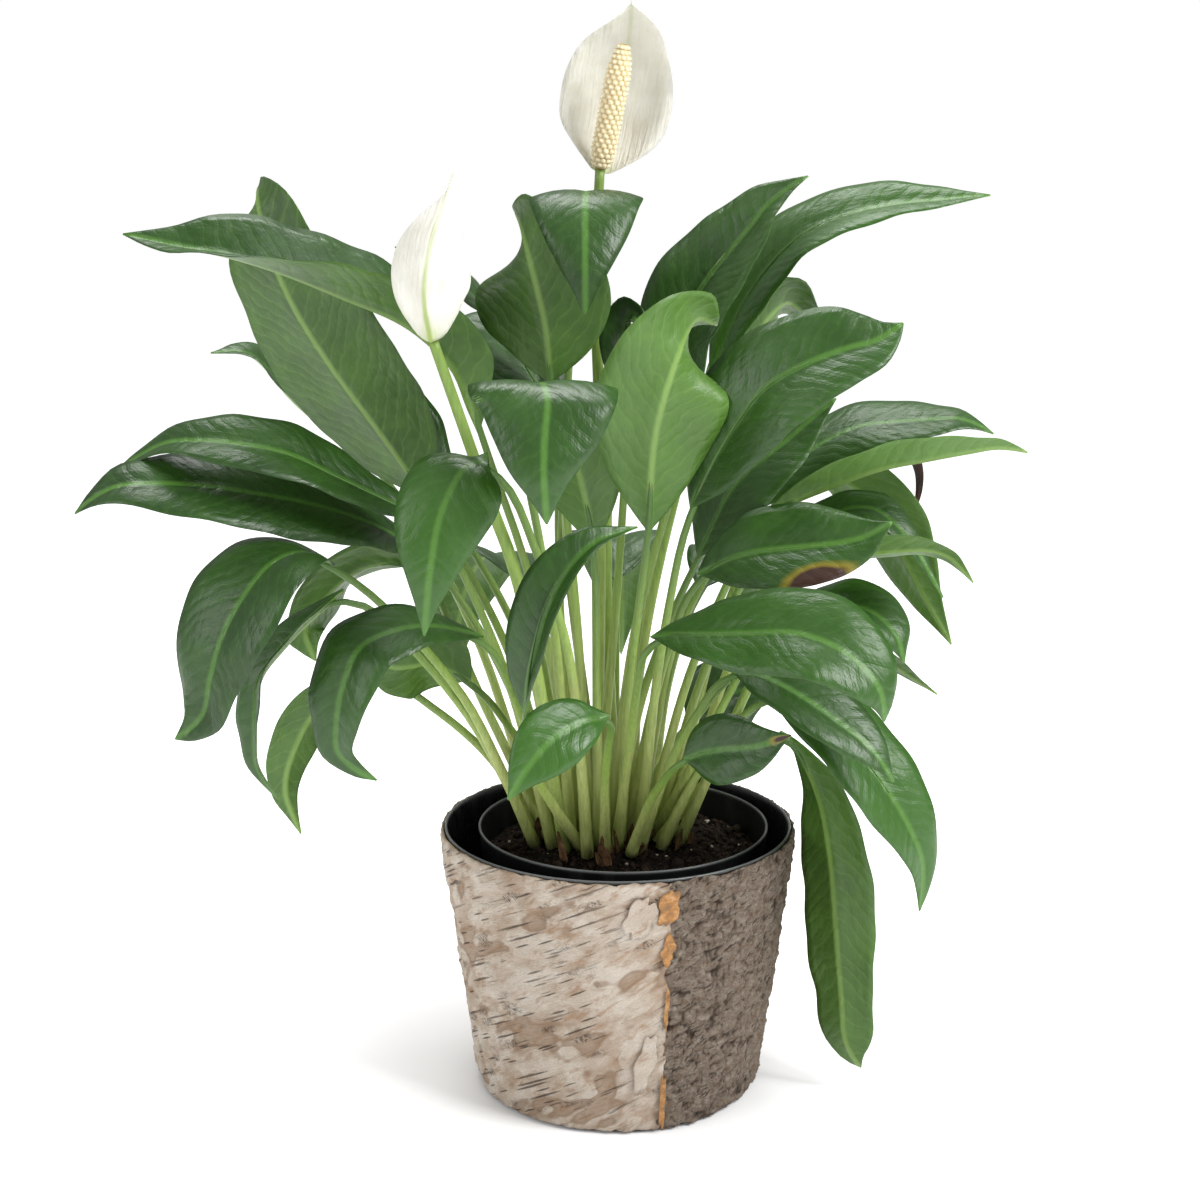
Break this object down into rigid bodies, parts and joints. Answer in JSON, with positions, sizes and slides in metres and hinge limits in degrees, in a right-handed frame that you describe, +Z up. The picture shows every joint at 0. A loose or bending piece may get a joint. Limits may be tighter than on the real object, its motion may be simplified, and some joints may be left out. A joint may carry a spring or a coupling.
{
  "type": "potted peace lily",
  "caption": "Peace lily with arching glossy leaves and white hooded flowers, growing in a black plastic pot inside a birch-bark clad cover pot.",
  "frame": {"origin": "middle of the cover pot's foot, on the surface that the pot stands on", "axes": "+Z up; +X to the right of someone who looks at the front along +Y"},
  "size_m": [0.3923, 0.2593, 0.482],
  "materials": {
    "black_plastic": "black, satin gloss, with a pale worn rim",
    "smooth_bark": "smooth cream and tan birch bark with dark lenticel dashes",
    "rough_bark": "rough grey-brown fissured bark",
    "soil": "near-black damp peat with pale perlite specks",
    "crown": "brown-green sheath scraps and peat",
    "leaf": "glossy dark green, paler satin underside, light veins",
    "dried_leaf": "dull crumpled dark brown",
    "green_stalk": "satin light green",
    "spathe": "matte cream white, slightly translucent, green midrib at the foot",
    "spadix": "knobbly cream and tan florets"
  },
  "bodies": {
    "root": {"bark_panel_rough": "rough_bark", "bark_panel_smooth": "smooth_bark", "cover_pot": "black_plastic", "crown": "crown", "flower_stalk_1": "green_stalk", "flower_stalk_2": "green_stalk", "flower_stalk_3": "green_stalk", "leaf_back": "leaf", "leaf_back_high": "leaf", "leaf_back_left": "leaf", "leaf_back_right": "leaf", "leaf_behind_flower": "leaf", "leaf_centre_bright": "leaf", "leaf_centre_curled": "leaf", "leaf_centre_dark": "leaf", "leaf_centre_pale": "leaf", "leaf_centre_tall": "leaf", "leaf_centre_top_drooping": "leaf", "leaf_front_drooping": "leaf", "leaf_front_left_drooping": "leaf", "leaf_front_small": "leaf", "leaf_left_arching": "leaf", "leaf_left_curved": "leaf", "leaf_left_folded": "leaf", "leaf_left_front_arch": "leaf", "leaf_left_hanging": "leaf", "leaf_left_long": "leaf", "leaf_left_low": "leaf", "leaf_left_narrow": "leaf", "leaf_left_olive": "leaf", "leaf_left_round": "leaf", "leaf_left_small_tip": "leaf", "leaf_left_upright": "leaf", "leaf_right_back_low": "leaf", "leaf_right_behind_pale": "leaf", "leaf_right_below_glossy": "leaf", "leaf_right_burnt_spot": "leaf", "leaf_right_burnt_tip": "leaf", "leaf_right_dark": "leaf", "leaf_right_dark_low": "leaf", "leaf_right_dried": "dried_leaf", "leaf_right_front_big": "leaf", "leaf_right_glossy": "leaf", "leaf_right_grey": "leaf", "leaf_right_hanging_pale": "leaf", "leaf_right_low_bright": "leaf", "leaf_right_lowest": "leaf", "leaf_right_pale_long": "leaf", "leaf_right_rounded": "leaf", "leaf_right_shaded": "leaf", "leaf_right_small_arched": "leaf", "leaf_right_small_glossy": "leaf", "leaf_right_top_long": "leaf", "nursery_pot": "black_plastic", "potting_soil": "soil", "spadix_1": "spadix", "spadix_2": "spadix", "spathe_1": "spathe", "spathe_2": "spathe", "spathe_3": "spathe"}
  },
  "joints": []
}
